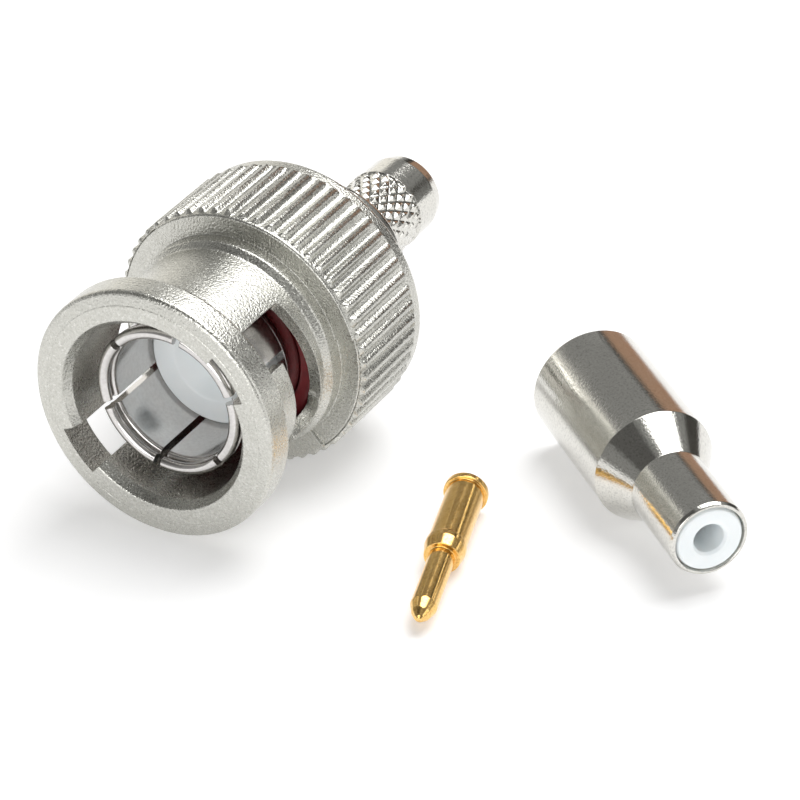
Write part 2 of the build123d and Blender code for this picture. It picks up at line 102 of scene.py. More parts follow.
# %% Rounding the corners of an outline
def rounded(corners, steps=3):
    """Turns (depth, radius, rounding) corners into the points of a smooth outline."""
    points = []
    for i, (depth, radius, size) in enumerate(corners):
        here = Vector((depth, radius))
        if not size:
            points.append(here)
            continue
        back = Vector(corners[i - 1][:2]) - here
        ahead = Vector(corners[(i + 1) % len(corners)][:2]) - here
        half = back.angle(ahead) / 2
        reach = min(size / tan(half), back.length * 0.4, ahead.length * 0.4)
        a, b = back.normalized() * reach, ahead.normalized() * reach
        points.append(here + a * 1.2)
        for step in range(steps + 1):
            u = step / steps
            points.append(here + a * (1 - u) ** 2 + b * u ** 2)
        points.append(here + b * 1.2)
    return points


# %% Turning it
def smooth(piece, angle=38):
    """Shades a piece smooth, and keeps the edges that are sharper than this many degrees."""
    piece.data.shade_smooth()
    piece.data.set_sharp_from_angle(angle=radians(angle))


def turned(name, outline, place, columns=128, start=0.0, sweep=360.0):
    """Turns an outline about the axis of `place`. A part turn gets its two end faces."""
    whole = sweep == 360
    count = columns if whole else columns + 1
    directions = [radians(start + sweep * k / columns) for k in range(count)]
    points, rings = [], []
    for depth, radius in outline:
        first = len(points)
        if radius < 1e-6:
            points.append(place @ (Vector((depth, 0, 0)) * MM))
            rings.append([first] * count)
        else:
            for angle in directions:
                points.append(place @ (Vector((depth, radius * cos(angle), radius * sin(angle))) * MM))
            rings.append(list(range(first, first + count)))
    faces = []
    for i, ring in enumerate(rings):
        following = rings[(i + 1) % len(rings)]
        if len(set(ring)) == 1 and len(set(following)) == 1:
            continue
        for k in range(columns):
            after = (k + 1) % count
            face = [ring[k], ring[after], following[after], following[k]]
            faces.append(list(dict.fromkeys(face)))
    if not whole:
        faces += [[ring[0] for ring in rings], [ring[-1] for ring in reversed(rings)]]
    return piece_from(name, points, faces)


def piece_from(name, points, faces):
    """Makes an object of these points and faces, with every face turned outwards."""
    mesh = bpy.data.meshes.new(name)
    mesh.from_pydata(points, [], faces)
    shape = bmesh.new()
    shape.from_mesh(mesh)
    bmesh.ops.remove_doubles(shape, verts=shape.verts, dist=1e-8)
    bmesh.ops.recalc_face_normals(shape, faces=shape.faces)
    shape.to_mesh(mesh)
    shape.free()
    piece = bpy.data.objects.new(name, mesh)
    bpy.context.scene.collection.objects.link(piece)
    smooth(piece)
    return piece


print("turning helpers ready")

# %% [markdown]
# ## Finishes
#
# Nickel and gold plate take their look from what they reflect, so their colour is nearly even and the
# interest is in the roughness. The nut was blasted before it was plated: its surface is a fine grain
# that glitters, with a few dark pits. The ferrule and the stem were drawn and plated bright, and show
# only a faint grain. All patterns read Object coordinates, scaled so that one unit is a millimetre.

# %% A small helper for materials
def new_finish(name):
    """A material with its shader and a pattern place in which one unit is one millimetre."""
    material = bpy.data.materials.new(name)
    material.use_nodes = True
    nodes = material.node_tree.nodes
    shader = nodes["Principled BSDF"]
    place = nodes.new("ShaderNodeTexCoord")
    scale = nodes.new("ShaderNodeMapping")
    scale.inputs["Scale"].default_value = (1000, 1000, 1000)
    material.node_tree.links.new(place.outputs["Object"], scale.inputs["Vector"])
    return material, nodes, material.node_tree.links.new, shader, scale.outputs["Vector"]


def grain(nodes, link, place, scale, detail=2.0, rough=0.5):
    """Fractal noise with `scale` features to a millimetre, from 0 to 1."""
    noise = nodes.new("ShaderNodeTexNoise")
    noise.inputs["Scale"].default_value = scale
    noise.inputs["Detail"].default_value = detail
    noise.inputs["Roughness"].default_value = rough
    link(place, noise.inputs["Vector"])
    return noise.outputs["Fac"]


def ramp(nodes, link, value, stops):
    """Spreads a value over colours, given as (position, colour) stops."""
    colours = nodes.new("ShaderNodeValToRGB")
    steps = colours.color_ramp.elements
    for step, (at, colour) in zip(steps, stops[:2]):
        step.position = at
        step.color = (*colour, 1)
    for at, colour in stops[2:]:
        steps.new(at).color = (*colour, 1)
    link(value, colours.inputs["Fac"])
    return colours.outputs["Color"]


def spread(nodes, link, value, low, high, new_low, new_high):
    """Maps a value from one range to another, and stops at the ends."""
    node = nodes.new("ShaderNodeMapRange")
    node.inputs["From Min"].default_value = low
    node.inputs["From Max"].default_value = high
    node.inputs["To Min"].default_value = new_low
    node.inputs["To Max"].default_value = new_high
    link(value, node.inputs["Value"])
    return node.outputs["Result"]


def bump(nodes, link, height, depth, strength, below=None):
    """A bump whose height is `depth` metres, on top of another normal if one is given."""
    node = nodes.new("ShaderNodeBump")
    node.inputs["Distance"].default_value = depth
    node.inputs["Strength"].default_value = strength
    link(height, node.inputs["Height"])
    if below is not None:
        link(below, node.inputs["Normal"])
    return node.outputs["Normal"]


def soft_edge(nodes, size):
    """Rounds the shading over sharp edges by this many metres."""
    node = nodes.new("ShaderNodeBevel")
    node.samples = 6
    node.inputs["Radius"].default_value = size
    return node.outputs["Normal"]


# %% Blasted nickel, for the coupling nut
def blasted_nickel():
    material, nodes, link, shader, place = new_finish("blasted nickel")
    coarse = grain(nodes, link, place, 1.1, 3)
    fine = grain(nodes, link, place, 9, 1.2, 0.5)
    pits = grain(nodes, link, place, 14, 1)
    shader.inputs["Metallic"].default_value = 1.0
    colour = ramp(nodes, link, fine, [
        (0.25, (0.49, 0.485, 0.445)), (0.42, (0.55, 0.545, 0.505)), (0.62, (0.59, 0.585, 0.545)),
        (0.78, (0.71, 0.705, 0.67))])
    link(colour, shader.inputs["Base Color"])
    rough = nodes.new("ShaderNodeMath")
    rough.operation = "ADD"
    link(spread(nodes, link, coarse, 0.3, 0.7, 0.18, 0.26), rough.inputs[0])
    link(spread(nodes, link, pits, 0.35, 0.7, 0.0, 0.16), rough.inputs[1])
    link(rough.outputs[0], shader.inputs["Roughness"])
    rounding = soft_edge(nodes, 0.00007)
    wavy = bump(nodes, link, coarse, 0.00004, 0.4, rounding)
    grainy = bump(nodes, link, fine, 0.00004, 0.75, wavy)
    link(bump(nodes, link, pits, 0.00001, 0.6, grainy), shader.inputs["Normal"])
    return material


# %% [markdown]
# Bright plate mirrors the cards and lamps more sharply than blasted metal, so its roughness is lower
# and its bump far shallower. A faint grain in the colour keeps it from looking painted.

# %% Bright nickel, for the stem and the ferrule
def bright_nickel():
    material, nodes, link, shader, place = new_finish("bright nickel")
    cloudy = grain(nodes, link, place, 0.6, 2)
    fine = grain(nodes, link, place, 10, 1.5, 0.5)
    shader.inputs["Metallic"].default_value = 1.0
    link(ramp(nodes, link, fine, [
        (0.3, (0.50, 0.49, 0.46)), (0.45, (0.63, 0.62, 0.58)), (0.7, (0.69, 0.68, 0.64))]),
        shader.inputs["Base Color"])
    link(spread(nodes, link, cloudy, 0.3, 0.7, 0.10, 0.16), shader.inputs["Roughness"])
    rounding = soft_edge(nodes, 0.00004)
    link(bump(nodes, link, fine, 0.000014, 0.5, rounding), shader.inputs["Normal"])
    return material


# %% [markdown]
# The spring fingers have a paler plate with a softer shine. The Bevel node rounds the shading at their
# edges, which would be hard lines without it.

# %% Pale plate, for the spring fingers of the outer contact
def pale_plate():
    material, nodes, link, shader, place = new_finish("pale contact plate")
    fine = grain(nodes, link, place, 6, 2)
    cloudy = grain(nodes, link, place, 0.8, 2)
    shader.inputs["Metallic"].default_value = 1.0
    link(ramp(nodes, link, fine, [(0.3, (0.62, 0.60, 0.585)), (0.7, (0.70, 0.68, 0.665))]),
         shader.inputs["Base Color"])
    link(spread(nodes, link, cloudy, 0.3, 0.7, 0.14, 0.21), shader.inputs["Roughness"])
    link(bump(nodes, link, fine, 0.000004, 0.3, soft_edge(nodes, 0.00005)), shader.inputs["Normal"])
    return material


# %% [markdown]
# A coloured metal tints what it mirrors, so gold needs no more than a strong base colour. The grain
# runs from a deep orange to a pale yellow.

# %% Gold plate, for the centre contact
def gold_plate():
    material, nodes, link, shader, place = new_finish("gold plate")
    fine = grain(nodes, link, place, 12, 2, 0.6)
    cloudy = grain(nodes, link, place, 1.4, 2)
    shader.inputs["Metallic"].default_value = 1.0
    link(ramp(nodes, link, fine, [
        (0.3, (0.62, 0.35, 0.09)), (0.5, (0.86, 0.55, 0.19)), (0.75, (0.95, 0.66, 0.28))]),
        shader.inputs["Base Color"])
    link(spread(nodes, link, cloudy, 0.3, 0.7, 0.13, 0.2), shader.inputs["Roughness"])
    link(bump(nodes, link, fine, 0.000006, 0.4, soft_edge(nodes, 0.00003)), shader.inputs["Normal"])
    return material


# %% [markdown]
# The washers and the ring inside the nut are plain rolled steel, darker and rougher than any plate.

# %% Spring steel, for the washers and the ring inside the nut
def spring_steel():
    material, nodes, link, shader, place = new_finish("spring steel")
    fine = grain(nodes, link, place, 7, 3)
    cloudy = grain(nodes, link, place, 0.9, 2)
    shader.inputs["Metallic"].default_value = 1.0
    link(ramp(nodes, link, fine, [(0.3, (0.38, 0.37, 0.36)), (0.7, (0.55, 0.54, 0.52))]),
         shader.inputs["Base Color"])
    link(spread(nodes, link, cloudy, 0.3, 0.7, 0.28, 0.4), shader.inputs["Roughness"])
    link(bump(nodes, link, fine, 0.000005, 0.3), shader.inputs["Normal"])
    return material


# %% [markdown]
# The insulators are a waxy white plastic that lets a little light in, so that their edges glow
# instead of going grey. The gasket is dark red rubber with a soft sheen and a fine moulded tooth.

# %% White plastic and red rubber
def white_plastic():
    material, nodes, link, shader, place = new_finish("white plastic")
    cloudy = grain(nodes, link, place, 0.7, 3)
    fine = grain(nodes, link, place, 9, 2)
    link(ramp(nodes, link, cloudy, [(0.3, (0.84, 0.885, 0.90)), (0.7, (0.87, 0.905, 0.915))]),
         shader.inputs["Base Color"])
    link(spread(nodes, link, fine, 0.3, 0.7, 0.30, 0.42), shader.inputs["Roughness"])
    shader.inputs["Subsurface Weight"].default_value = 0.25
    shader.inputs["Subsurface Scale"].default_value = 0.0004
    shader.inputs["Subsurface Radius"].default_value = (1.0, 0.9, 0.85)
    link(bump(nodes, link, fine, 0.000003, 0.3), shader.inputs["Normal"])
    return material


def red_rubber():
    material, nodes, link, shader, place = new_finish("red rubber")
    cloudy = grain(nodes, link, place, 1.2, 3)
    fine = grain(nodes, link, place, 10, 3)
    link(ramp(nodes, link, cloudy, [(0.3, (0.12, 0.007, 0.011)), (0.7, (0.22, 0.013, 0.018))]),
         shader.inputs["Base Color"])
    link(spread(nodes, link, fine, 0.3, 0.7, 0.35, 0.5), shader.inputs["Roughness"])
    link(bump(nodes, link, fine, 0.000006, 0.4), shader.inputs["Normal"])
    return material


# %% Make each finish once
BLASTED, BRIGHT, PALE = blasted_nickel(), bright_nickel(), pale_plate()
GOLD, STEEL, WHITE, RED = gold_plate(), spring_steel(), white_plastic(), red_rubber()
print("finishes:", [m.name for m in (BLASTED, BRIGHT, PALE, GOLD, STEEL, WHITE, RED)])

# %% [markdown]
# ## Dressing a piece
#
# Each piece takes its finish and is then tied to the imported model: it rides on one body, and it stands
# for one solid.

# %% Dress a piece
def dress(piece, finish, node, body="plug"):
    """Gives a piece its finish, and says which solid it stands for and which body it rides on."""
    piece.data.materials.clear()
    piece.data.materials.append(finish)
    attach(piece, body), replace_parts(piece, node), piece
    print(piece.name, "stands for", node)


# %% [markdown]
# ## Rules round an axis, as Geometry Nodes
#
# A knurl is a rule, not a pile of parts: every point of the surface moves in or out by an amount that
# depends on its angle about the axis and its depth along it. So each tree below first finds those two
# numbers, applies its rule, and puts the point back. What all the trees share is kept in one class,
# whose functions add the same few nodes each time.

# %% Helpers for the trees
class Tree:
    """A Geometry Nodes tree with named inputs, and short words for the nodes that it needs."""

    def __init__(self, name, sizes):
        self.tree = bpy.data.node_groups.new(name, "GeometryNodeTree")
        self.add_socket("Geometry", "INPUT", "NodeSocketGeometry")
        kinds = {int: "NodeSocketInt", float: "NodeSocketFloat", Vector: "NodeSocketVector"}
        for label, value in sizes.items():
            self.add_socket(label, "INPUT", kinds[type(value)]).default_value = value
        self.add_socket("Finish", "INPUT", "NodeSocketMaterial")
        self.add_socket("Geometry", "OUTPUT", "NodeSocketGeometry")
        self.given = self.node("NodeGroupInput").outputs

    def add_socket(self, label, direction, kind):
        return self.tree.interface.new_socket(label, in_out=direction, socket_type=kind)

    def node(self, kind, **settings):
        made = self.tree.nodes.new(kind)
        for key, value in settings.items():
            setattr(made, key, value)
        return made

    def feed(self, value, socket):
        """Links a socket, or sets a plain value."""
        if isinstance(value, bpy.types.NodeSocket):
            self.tree.links.new(value, socket)
        else:
            socket.default_value = value

    def maths(self, operation, *values):
        made = self.node("ShaderNodeMath", operation=operation)
        for value, socket in zip(values, made.inputs):
            self.feed(value, socket)
        return made.outputs[0]

    def step(self, value, low, high, new_low=0.0, new_high=1.0):
        """A smooth step between two values."""
        made = self.node("ShaderNodeMapRange", interpolation_type="SMOOTHSTEP")
        for label, number in (("Value", value), ("From Min", low), ("From Max", high),
                              ("To Min", new_low), ("To Max", new_high)):
            self.feed(number, made.inputs[label])
        return made.outputs["Result"]

    def polar(self, axis):
        """Each point's radius, angle and depth about an axis along +Y through this point."""
        place = self.node("GeometryNodeInputPosition")
        away = self.node("ShaderNodeVectorMath", operation="SUBTRACT")
        self.feed(place.outputs[0], away.inputs[0])
        self.feed(axis, away.inputs[1])
        parts = self.node("ShaderNodeSeparateXYZ")
        self.feed(away.outputs[0], parts.inputs[0])
        x, depth, z = parts.outputs
        square = self.maths("ADD", self.maths("MULTIPLY", x, x), self.maths("MULTIPLY", z, z))
        return self.maths("SQRT", square), self.maths("ARCTAN2", z, x), depth

    def put_back(self, shape, axis, radius, angle, depth):
        """Moves every point to this radius, angle and depth about the axis."""
        spot = self.node("ShaderNodeCombineXYZ")
        self.feed(self.maths("MULTIPLY", radius, self.maths("COSINE", angle)), spot.inputs[0])
        self.feed(depth, spot.inputs[1])
        self.feed(self.maths("MULTIPLY", radius, self.maths("SINE", angle)), spot.inputs[2])
        whole = self.node("ShaderNodeVectorMath", operation="ADD")
        self.feed(spot.outputs[0], whole.inputs[0])
        self.feed(axis, whole.inputs[1])
        moved = self.node("GeometryNodeSetPosition")
        self.feed(shape, moved.inputs["Geometry"])
        self.feed(whole.outputs[0], moved.inputs["Position"])
        return moved.outputs[0]

    def end(self, shape):
        """Realizes what is still an instance, gives it the finish, and closes the tree."""
        real = self.node("GeometryNodeRealizeInstances")
        self.feed(shape, real.inputs["Geometry"])
        finish = self.node("GeometryNodeSetMaterial")
        self.feed(real.outputs[0], finish.inputs["Geometry"])
        self.feed(self.given["Finish"], finish.inputs["Material"])
        self.feed(finish.outputs[0], self.node("NodeGroupOutput").inputs[0])
        return self.tree


def grow(piece, tree, finish, **sizes):
    """Runs a tree on a piece, and leaves a plain mesh behind."""
    modifier = piece.modifiers.new("rule", "NODES")
    modifier.node_group = tree
    for socket in tree.interface.items_tree:
        if socket.name == "Finish" and socket.in_out == "INPUT":
            modifier[socket.identifier] = finish
        if socket.name in sizes and socket.in_out == "INPUT":
            modifier[socket.identifier] = sizes[socket.name]
    ready = piece.evaluated_get(bpy.context.evaluated_depsgraph_get())
    mesh = bpy.data.meshes.new_from_object(ready)
    piece.modifiers.clear()
    piece.data = mesh
    smooth(piece)
    print(piece.name, "grown to", len(mesh.polygons), "faces")


AXIS_POINT = PLUG.translation.copy()

# %% [markdown]
# The straight knurl presses grooves between ridges. Within each pitch, the share of the way from the
# middle of a ridge tells how deep the point sinks. Only what stands over the groove's floor moves, so
# the bevel at the front keeps its shape and the ridges end in bright little slopes, as on the real
# nut. The same tree sinks the two shallow recesses in the ring's front face.

# %% The tree of the straight knurl
def straight_knurl():
    t = Tree("straight knurl", {
        "Axis": AXIS_POINT, "Ridges": 55, "First ridge": 0.0, "Floor radius": 0.00701,
        "Rear": 0.01365, "Land share": 0.3, "Recess depth": 0.00015, "Recess start": 0.0,
        "Recess sweep": 1.0, "Face depth": 0.00827})
    radius, angle, depth = t.polar(t.given["Axis"])
    pitch = t.maths("DIVIDE", 2 * pi, t.given["Ridges"])
    turns = t.maths("DIVIDE", t.maths("SUBTRACT", angle, t.given["First ridge"]), pitch)
    phase = t.maths("FRACT", t.maths("ADD", turns, 20.5))
    off_ridge = t.maths("ABSOLUTE", t.maths("SUBTRACT", phase, 0.5))
    in_groove = t.step(off_ridge, t.given["Land share"], 0.4)
    before_rear = t.step(depth, t.given["Rear"], t.maths("ADD", t.given["Rear"], 0.00015), 1.0, 0.0)
    over = t.maths("MAXIMUM", t.maths("SUBTRACT", radius, t.given["Floor radius"]), 0.0)
    sunk = t.maths("MULTIPLY", over, t.maths("MULTIPLY", in_groove, before_rear))
    past_start = t.maths("SUBTRACT", angle, t.given["Recess start"])
    from_start = t.maths("FRACT", t.maths("DIVIDE", past_start, pi))
    inside = t.maths("LESS_THAN", from_start, t.maths("DIVIDE", t.given["Recess sweep"], pi))
    off_face = t.maths("ABSOLUTE", t.maths("SUBTRACT", depth, t.given["Face depth"]))
    on_face = t.maths("LESS_THAN", off_face, 0.00012)
    recess = t.maths("MULTIPLY", t.maths("MULTIPLY", inside, on_face), t.given["Recess depth"])
    lower, deeper = t.maths("SUBTRACT", radius, sunk), t.maths("ADD", depth, recess)
    return t.end(t.put_back(t.given["Geometry"], t.given["Axis"], lower, angle, deeper))


# %% [markdown]
# The crimp stem has a diamond knurl: two sets of fine helical grooves that cross. Each set has its
# own phase, one rising and one falling with depth, and a point sinks by the deeper of the two.

# %% The tree of the diamond knurl
def diamond_knurl():
    t = Tree("diamond knurl", {
        "Axis": AXIS_POINT, "Starts": 24, "Lead": 0.0248, "Groove depth": 0.00011,
        "Front": 0.0182, "Rear": 0.0229, "Inside radius": 0.0019})
    radius, angle, depth = t.polar(t.given["Axis"])
    around = t.maths("MULTIPLY", t.maths("DIVIDE", angle, 2 * pi), t.given["Starts"])
    along = t.maths("MULTIPLY", t.maths("DIVIDE", depth, t.given["Lead"]), t.given["Starts"])
    cuts = []
    for way in ("ADD", "SUBTRACT"):
        phase = t.maths("FRACT", t.maths("ADD", t.maths(way, around, along), 100.0))
        cuts.append(t.step(t.maths("ABSOLUTE", t.maths("SUBTRACT", phase, 0.5)), 0.02, 0.5))
    deepest = t.maths("MAXIMUM", *cuts)
    past_front = t.step(depth, t.maths("SUBTRACT", t.given["Front"], 0.0001), t.given["Front"])
    before_rear = t.step(depth, t.given["Rear"], t.maths("ADD", t.given["Rear"], 0.0001), 1.0, 0.0)
    fade = t.maths("MULTIPLY", past_front, before_rear)
    outside = t.maths("GREATER_THAN", radius, t.given["Inside radius"])
    reach = t.maths("MULTIPLY", fade, outside)
    sunk = t.maths("MULTIPLY", t.maths("MULTIPLY", deepest, t.given["Groove depth"]), reach)
    lower = t.maths("SUBTRACT", radius, sunk)
    return t.end(t.put_back(t.given["Geometry"], t.given["Axis"], lower, angle, depth))


# %% [markdown]
# The spring fingers are one finger, copied round the axis. The wave washers are a flat washer whose
# rings rise and fall with the angle.

# %% The trees of the fingers and of the waves
def copies_round():
    t = Tree("copies round the axis", {"Axis": AXIS_POINT, "Copies": 6})
    line = t.node("GeometryNodeMeshLine")
    t.feed(t.given["Copies"], line.inputs["Count"])
    t.feed(t.given["Axis"], line.inputs["Start Location"])
    line.inputs["Offset"].default_value = (0, 0, 0)
    shift = t.node("GeometryNodeTransform")
    back = t.node("ShaderNodeVectorMath", operation="SCALE")
    t.feed(t.given["Axis"], back.inputs[0])
    back.inputs["Scale"].default_value = -1
    t.feed(t.given["Geometry"], shift.inputs["Geometry"])
    t.feed(back.outputs[0], shift.inputs["Translation"])
    turn = t.maths("MULTIPLY", t.node("GeometryNodeInputIndex").outputs[0],
                   t.maths("DIVIDE", -2 * pi, t.given["Copies"]))
    spot = t.node("ShaderNodeCombineXYZ")
    t.feed(turn, spot.inputs[1])
    placed = t.node("GeometryNodeInstanceOnPoints")
    t.feed(line.outputs[0], placed.inputs["Points"])
    t.feed(shift.outputs[0], placed.inputs["Instance"])
    t.feed(spot.outputs[0], placed.inputs["Rotation"])
    return t.end(placed.outputs[0])


def waves_round():
    t = Tree("waves round the axis", {"Axis": AXIS_POINT, "Waves": 3, "Turn": 0.0, "Height": 0.00046})
    radius, angle, depth = t.polar(t.given["Axis"])
    from_crest = t.maths("SUBTRACT", angle, t.given["Turn"])
    swing = t.maths("COSINE", t.maths("MULTIPLY", from_crest, t.given["Waves"]))
    lift = t.maths("MULTIPLY", swing, t.maths("MULTIPLY", t.given["Height"], 0.5))
    raised = t.maths("ADD", depth, lift)
    return t.end(t.put_back(t.given["Geometry"], t.given["Axis"], radius, angle, raised))


STRAIGHT_KNURL, DIAMOND_KNURL = straight_knurl(), diamond_knurl()
COPIES_ROUND, WAVES_ROUND = copies_round(), waves_round()
print("trees:", [g.name for g in bpy.data.node_groups])

# %% [markdown]
# ## The coupling nut
#
# The nut is one piece of metal: a collar at the front, a neck and a knurled ring. The collar and neck
# are turned first. Two bayonet slots are then cut out of them, because a slot cuts clean through the
# wall and a Boolean gives it crisp edges that the finish then softens. The ring needs many more points
# round it for its ridges, so it is turned apart and joined on where the two meet in the real piece.

# %% Collar and neck
def nut_front():
    """Turns the collar and the neck, with extra rings where the slots will be cut."""
    outline = rounded([
        (0.5, 4.94, 0.12), (0, 5.3, 0.12), (0, 6.12, 0.02), (0.03, 6.17, 0.02), (0.01, 6.22, 0.02),
        (0.12, 6.9, 0.26), (1.75, 6.9, 0.16), (1.75, 5.6, 0.14), (7.24, 5.6, 0.2), (7.6, 5.9, 0.2),
        (8.5, 5.9, 0), (8.6, 5.9, 0), (8.6, 4.94, 0)])
    denser = []
    for a, b in zip(outline, outline[1:] + outline[:1]):
        parts = max(1, int((b - a).length / 0.7))
        denser += [a.lerp(b, k / parts) for k in range(parts)]
    return turned("bayonet_nut", denser, PLUG, 288)


# %% [markdown]
# A slot is drawn unrolled: at each place round the nut it has a front edge and a rear edge. It runs
# straight in from the mating face, turns along a shallow helix and ends in a round detent that dips
# back towards the front. Rolled up, the strip between the two edges is a solid that cuts the slot.

# %% The cutters of the bayonet slots
SLOT_ANGLE, SLOT_WIDTH, SLOT_TURN, SLOT_SWEEP, SLOT_RISE = 36.5, 2.4, 5.28, 62.0, 0.713
SLOT_MIDDLE_RADIUS = 5.3
# The strip starts well inside the entry groove, and its first corner is rounded and a little short.
STRIP_START, CORNER, SHORT_BY = 3.0, 0.25, 0.15
DETENT_RADIUS, DETENT_DIP = 1.3, 0.1


def slot_edges():
    """(way round in mm, front edge, rear edge) down the slot, unrolled at its middle radius."""
    half, sweep = SLOT_WIDTH / 2, radians(SLOT_SWEEP) * SLOT_MIDDLE_RADIUS
    detent, dip = DETENT_RADIUS, SLOT_TURN + SLOT_RISE - DETENT_DIP
    rows = []
    for k in range(6):
        way = half - CORNER * k / 5
        curve = CORNER - (CORNER ** 2 - (CORNER - (half - way)) ** 2) ** 0.5
        rows.append((way, STRIP_START, SLOT_TURN + half - SHORT_BY - curve))
    rows.append((-half, STRIP_START, SLOT_TURN + half + SLOT_RISE * half / sweep))
    steps = 60
    for k in range(steps + 1):
        way = -half - (sweep + detent * 0.995 - half) * k / steps
        slope = SLOT_RISE * -way / sweep
        front, rear = SLOT_TURN - half + slope, SLOT_TURN + half + slope
        off = way + sweep
        if abs(off) < detent:
            reach = (detent ** 2 - off ** 2) ** 0.5
            round_front, round_rear = dip - reach, dip + reach
            if off > 0:
                front, rear = min(front, round_front), rear + (round_rear - rear) * (1 - off / detent)
            else:
                front, rear = round_front, round_rear
        rows.append((way, front, rear))
    return rows


def rolled(name, rows, angle, inner, outer):
    """Rolls a strip of (way round, front, rear) rows into a solid between two radii."""
    points, faces = [], []
    for way, front, rear in rows:
        turn = radians(angle) + way / SLOT_MIDDLE_RADIUS
        for depth, radius in ((front, inner), (rear, inner), (rear, outer), (front, outer)):
            points.append(PLUG @ (Vector((depth, radius * cos(turn), radius * sin(turn))) * MM))
    for k in range(len(rows) - 1):
        a, b = 4 * k, 4 * k + 4
        faces += [[a + i, a + (i + 1) % 4, b + (i + 1) % 4, b + i] for i in range(4)]
    last = 4 * (len(rows) - 1)
    faces += [[0, 1, 2, 3], [last, last + 1, last + 2, last + 3]]
    return piece_from(name, points, faces)


def cut(piece, cutter):
    """Takes the cutter out of the piece, and throws the cutter away."""
    modifier = piece.modifiers.new("cut", "BOOLEAN")
    modifier.object, modifier.operation, modifier.solver = cutter, "DIFFERENCE", "EXACT"
    ready = piece.evaluated_get(bpy.context.evaluated_depsgraph_get())
    mesh = bpy.data.meshes.new_from_object(ready)
    piece.modifiers.clear()
    piece.data = mesh
    bpy.data.objects.remove(cutter)


# %% [markdown]
# The two slots lie half a turn apart. Each starts as a groove inside the collar, which doesn't come
# through to the outside, and goes on as the slot that does come through the neck.

# %% Cut the slots
IN_THE_BORE, GROOVE_FLOOR, OUTSIDE_NECK = 4.5, 5.85, 6.3
nut = nut_front()
for half_turn in (0, 180):
    straight = [(SLOT_WIDTH * (0.5 - k / 8), -0.5, 4.0) for k in range(9)]
    cut(nut, rolled("entry_groove", straight, SLOT_ANGLE + half_turn, IN_THE_BORE, GROOVE_FLOOR))
    cut(nut, rolled("helical_slot", slot_edges(), SLOT_ANGLE + half_turn, IN_THE_BORE, OUTSIDE_NECK))
print("nut front with its slots:", len(nut.data.polygons), "faces")

# %% [markdown]
# The ring's outline rises over a rounded bevel to the tops of the ridges and falls to a smooth band
# behind them. Sixteen points to each ridge are enough for a groove with clean flanks.

# %% The knurled ring
RIDGES, POINTS_TO_A_RIDGE, FIRST_RIDGE = 55, 16, 2.2


def knurled_ring():
    """Turns the ring behind the neck, and presses the grooves between its ridges."""
    outline = rounded([
        (8.27, 5.75, 0), (8.27, 6.93, 0.08), (8.37, 7.01, 0.04), (8.46, 7.01, 0.03), (8.62, 7.25, 0.1),
        (13.6, 7.25, 0), (13.78, 7.11, 0.08), (14.35, 7.11, 0.3), (14.95, 6.55, 0.15),
        (14.95, 6.2, 0.1), (14.65, 5.9, 0.08), (12.49, 5.9, 0), (12.49, 6.3, 0), (11.79, 6.3, 0),
        (11.79, 5.9, 0), (8.6, 5.9, 0), (8.45, 5.75, 0)])
    ring = turned("knurled_ring", outline, PLUG, RIDGES * POINTS_TO_A_RIDGE, start=FIRST_RIDGE)
    grow(ring, STRAIGHT_KNURL, BLASTED, **{
        "Ridges": RIDGES, "First ridge": radians(FIRST_RIDGE), "Land share": 0.08,
        "Recess start": radians(132.5), "Recess sweep": radians(62)})
    return ring


def joined(first, *others):
    """Joins meshes into the first piece."""
    shape = bmesh.new()
    shape.from_mesh(first.data)
    for other in others:
        shape.from_mesh(other.data)
        bpy.data.objects.remove(other)
    shape.to_mesh(first.data)
    shape.free()
    smooth(first)


joined(nut, knurled_ring())
dress(nut, BLASTED, "coupling_nut", "nut")

# %% [markdown]
# ## The body and its crimp stem
#
# Behind the nut the body is a short polished hub, a knurled stem that the cable's braid is spread
# over, and a plain end that was left bright and tapers a little. The knurl gets closely spaced rings,
# because its diamonds are only 0.6 mm apart.

# %% Body
KNURL_START, RING_GAP, KNURL_RINGS, STEM_RADIUS = 18.15, 0.05, 97, 2.28


def body():
    """Turns the body with its stem, and knurls the stem."""
    outline = rounded([
        (8.75, 4.03, 0), (8.75, 5.75, 0.05), (9.75, 5.75, 0.05), (9.75, 4.2, 0.05), (18.1, 4.2, 0.25),
        (18.1, STEM_RADIUS, 0)])
    outline += [Vector((KNURL_START + RING_GAP * k, STEM_RADIUS)) for k in range(KNURL_RINGS)]
    outline += rounded([
        (23.0, STEM_RADIUS, 0), (23.03, 2.25, 0), (24.7, 2.25, 0.12), (25.35, 2.08, 0.3),
        (25.6, 1.84, 0.1), (25.6, 1.7, 0.06), (25.45, 1.53, 0.06), (15.4, 1.53, 0), (15.4, 3.48, 0),
        (9.7, 3.48, 0), (9.7, 4.03, 0)])
    piece = turned("hub_and_stem", outline, PLUG, 288)
    grow(piece, DIAMOND_KNURL, BRIGHT, Starts=24)
    dress(piece, BRIGHT, "connector_body")


body()

# %% [markdown]
# ## The outer contact
#
# A thin sleeve, slotted lengthwise into six fingers that spring outwards, with a raised tip that
# rubs inside the socket. One finger is a part turn of the sleeve's outline. A short whole ring behind
# the slots carries them.

# %% Fingers and the ring that carries them
FINGERS, GAP_WIDTH, MEAN_RADIUS = 6, 0.4, 3.75
BEAD_DEPTH, BEAD_MIDDLE, BEAD_SIZE = 1.66, 3.83, 0.32


